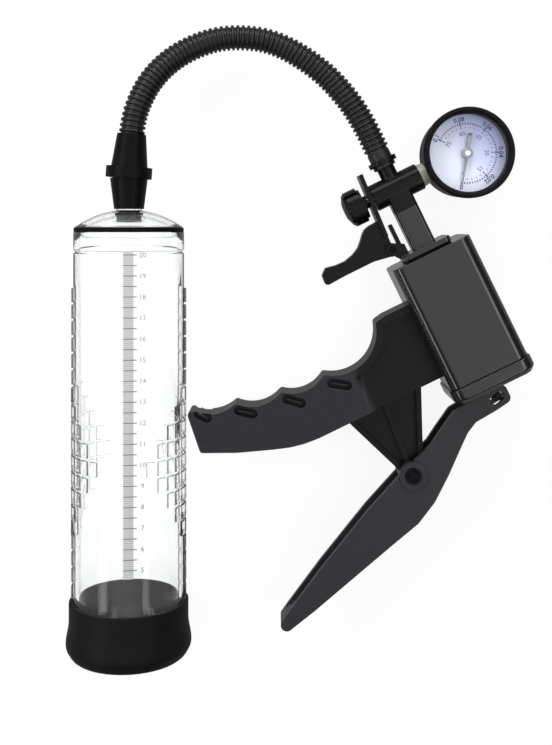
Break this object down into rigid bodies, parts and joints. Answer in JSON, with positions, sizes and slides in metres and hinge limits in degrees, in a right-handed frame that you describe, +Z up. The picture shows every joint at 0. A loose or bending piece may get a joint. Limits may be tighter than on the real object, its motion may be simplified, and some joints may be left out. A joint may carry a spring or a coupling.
{
  "type": "hand vacuum pump",
  "caption": "Trigger-grip hand vacuum pump with a square barrel, dial gauge, release valve, ribbed hose and a clear round chamber in a rubber sleeve.",
  "frame": {"origin": "centre of the chamber's open mouth, on the sleeve's foot", "axes": "+Y up the chamber's axis from its mouth to its nozzle, +Z up from the surface that the part lies on, +X from the chamber to the pump"},
  "size_m": [0.2321, 0.3172, 0.0622],
  "materials": {
    "clear_acrylic": "polished clear acrylic",
    "lens": "clear moulded lens",
    "black_rubber": "matte rubber",
    "hose_plastic": "ribbed soft hose",
    "body_gloss": "glossy charcoal plastic",
    "grip_plastic": "satin charcoal plastic",
    "black_plastic": "black moulded plastic",
    "light_plastic": "natural moulded plastic",
    "steel": "drawn steel",
    "nickel": "dull nickel plate",
    "brass": "plain brass",
    "dial": "printed dial",
    "needle": "painted needle"
  },
  "bodies": {
    "pump_frame": {"hose_connector": "black_rubber", "hose": "hose_plastic", "hose_cuff": "hose_plastic", "clamp_ring": "black_plastic", "pump_barrel": "body_gloss", "end_cap": "body_gloss", "rod_bush": "light_plastic", "head_gasket": "black_rubber", "manifold": "black_plastic", "inlet_valve": "black_rubber", "return_spring": "steel", "grip_handle": "grip_plastic", "pivot_pin": "steel", "pivot_clips": "steel", "trigger_pin": "steel", "valve_bush": "light_plastic", "valve_spring": "steel", "gauge_stem": "nickel", "gauge_case": "black_plastic", "gauge_bezel": "black_plastic", "gauge_lens": "lens", "gauge_dial": "dial", "bourdon_tube": "brass", "movement_base": "brass", "movement_bridge": "brass", "sector_pin": "steel"},
    "chamber": {"chamber_tube": "clear_acrylic", "chamber_cap": "clear_acrylic", "cap_gasket": "black_rubber", "neck_seal": "black_rubber"},
    "sleeve": {"base_sleeve": "black_rubber"},
    "lever_body": {"lever": "grip_plastic"},
    "piston_body": {"piston": "light_plastic", "piston_seal": "black_rubber", "piston_nut": "steel", "exhaust_valve": "black_rubber", "piston_rod": "steel", "rod_pin": "steel"},
    "trigger_body": {"release_trigger": "black_plastic"},
    "valve_body": {"valve_stem": "steel", "valve_seal": "black_rubber", "valve_knob": "black_plastic"},
    "needle_body": {"needle_arbor": "steel", "gauge_needle": "needle"},
    "sector_body": {"sector_gear": "brass"}
  },
  "joints": [
    {"name": "chamber_pull", "type": "slide", "parent": "pump_frame", "child": "chamber", "axis": [0, -1, 0], "range_m": [0, 0.03]},
    {"name": "sleeve_pull", "type": "slide", "parent": "chamber", "child": "sleeve", "axis": [0, -1, 0], "range_m": [0, 0.028]},
    {"name": "lever_squeeze", "type": "hinge", "parent": "pump_frame", "child": "lever_body", "pos_m": [0.14214, 0.089, -0.00915], "axis": [0, 0, -1], "range_deg": [0, 25], "stiffness_Nm_per_rad": 0.6},
    {"name": "piston_slide", "type": "slide", "parent": "pump_frame", "child": "piston_body", "axis": [0.4384, -0.8988, 0], "range_m": [0, 0.025], "deforming": ["return_spring"]},
    {"name": "trigger_pull", "type": "hinge", "parent": "pump_frame", "child": "trigger_body", "pos_m": [0.13203, 0.20222, -0.00915], "axis": [0, 0, 1], "range_deg": [0, 6], "stiffness_Nm_per_rad": 0.5},
    {"name": "valve_slide", "type": "slide", "parent": "pump_frame", "child": "valve_body", "axis": [-0.8988, -0.4384, 0], "range_m": [0, 0.003], "deforming": ["valve_spring"]},
    {"name": "needle_sweep", "type": "hinge", "parent": "pump_frame", "child": "needle_body", "pos_m": [0.16976, 0.25067, -0.00915], "axis": [0, 0, 1], "range_deg": [0, 254]},
    {"name": "sector_swing", "type": "hinge", "parent": "pump_frame", "child": "sector_body", "pos_m": [0.1631, 0.26433, -0.00915], "axis": [0, 0, 1], "range_deg": [-30, 0]}
  ],
  "couplings": [
    {"joint": "piston_slide", "follows": "lever_squeeze", "m_per_rad": 0.0572},
    {"joint": "valve_slide", "follows": "trigger_pull", "m_per_rad": 0.027},
    {"joint": "sector_swing", "follows": "needle_sweep", "ratio": -0.11765}
  ]
}
